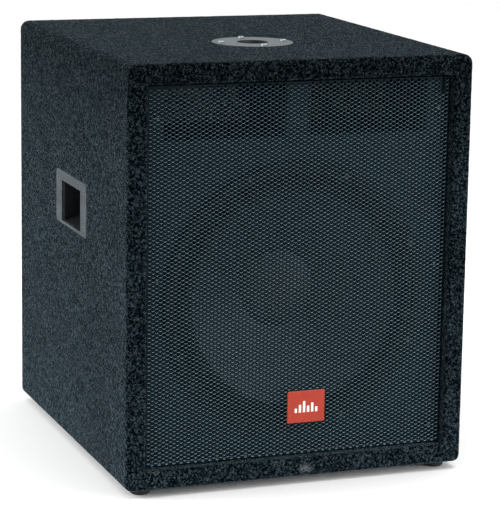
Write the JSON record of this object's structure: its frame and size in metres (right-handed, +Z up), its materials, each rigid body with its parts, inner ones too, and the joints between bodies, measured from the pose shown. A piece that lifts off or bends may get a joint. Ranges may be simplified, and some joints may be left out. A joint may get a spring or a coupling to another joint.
{
  "type": "subwoofer cabinet",
  "caption": "Carpeted bass-reflex subwoofer cabinet: steel mesh grille over a large woofer and two slot ports, side pocket handles, top pole socket and rubber feet.",
  "frame": {"origin": "on the floor under the middle of the cabinet, at the bottom centre of its bounding box", "axes": "+X to the right seen from the front, +Y from the grille towards the back, +Z up"},
  "size_m": [0.5016, 0.55, 0.5976],
  "materials": {
    "plywood": "bare birch plywood, satin",
    "black_baffle": "plywood painted matt black",
    "carpet": "charcoal needle-punched speaker carpet with pale flecks",
    "black_steel": "black powder coat on steel",
    "foam": "closed-cell foam strip",
    "zinc_steel": "zinc plated steel",
    "black_rubber": "moulded rubber",
    "red_badge": "red enamelled plate",
    "grey_gasket": "grey pressed-board gasket",
    "surround_cloth": "doped cloth",
    "paper_cone": "pressed paper pulp",
    "dust_cap": "pressed paper, doped",
    "former_film": "heat-resistant film",
    "copper": "enamelled copper wire",
    "spider_cloth": "resin-dipped cotton",
    "ferrite": "sintered ferrite, matt",
    "terminal_plastic": "phenolic board and tinned tabs",
    "black_screw": "black oxide steel",
    "socket_metal": "grey hammered steel",
    "grey_plastic": "grey moulded plastic, fine texture",
    "black_plastic": "black moulded plastic",
    "circuit_board": "green circuit board",
    "capacitor_film": "film capacitors in resin",
    "red_lead": "red insulated stranded wire",
    "black_lead": "black insulated stranded wire",
    "wadding": "polyester wadding"
  },
  "bodies": {
    "cabinet": {"back_cleats": "plywood", "back_panel": "plywood", "badge_pegs": "zinc_steel", "baffle_cleats": "plywood", "board_fixings": "zinc_steel", "bottom_panel": "plywood", "carpet_back": "carpet", "carpet_cover": "carpet", "crossover_board": "circuit_board", "crossover_capacitors": "capacitor_film", "crossover_inductor": "copper", "damping_pad_back": "wadding", "damping_pads_sides": "wadding", "dish_gasket": "foam", "dish_screws": "black_screw", "foot_screws": "zinc_steel", "front_baffle": "black_baffle", "grille_badge": "red_badge", "grille_gasket": "foam", "grille_panel": "black_steel", "grille_sockets": "black_rubber", "grille_studs": "black_steel", "handle_left": "grey_plastic", "handle_right": "grey_plastic", "handle_screws": "black_screw", "lead_clips": "black_plastic", "leads_negative": "black_lead", "leads_positive": "red_lead", "magnet_ring": "ferrite", "magnet_top_plate": "zinc_steel", "magnet_yoke": "zinc_steel", "pole_socket": "socket_metal", "pole_socket_screws": "zinc_steel", "port_divider": "plywood", "port_shelf": "plywood", "port_side_walls": "plywood", "rubber_feet": "black_rubber", "side_panel_left": "plywood", "side_panel_right": "plywood", "side_to_side_brace": "plywood", "socket_screws": "zinc_steel", "speaker_sockets": "black_plastic", "terminal_dish": "black_plastic", "tinsel_leads": "copper", "top_panel": "plywood", "woofer_frame": "black_steel", "woofer_gasket": "grey_gasket", "woofer_screws": "black_screw", "woofer_seal": "foam", "woofer_spider": "spider_cloth", "woofer_surround": "surround_cloth", "woofer_tee_nuts": "zinc_steel", "woofer_terminals": "terminal_plastic"},
    "diaphragm": {"woofer_cone": "paper_cone", "woofer_dust_cap": "dust_cap", "voice_coil_former": "former_film", "voice_coil": "copper"}
  },
  "joints": [
    {"name": "cone_excursion", "type": "slide", "parent": "cabinet", "child": "diaphragm", "axis": [0, -1, 0], "range_m": [-0.006, 0.006], "stiffness_N_per_m": 7000, "deforming": ["woofer_surround", "woofer_spider", "tinsel_leads"]}
  ]
}
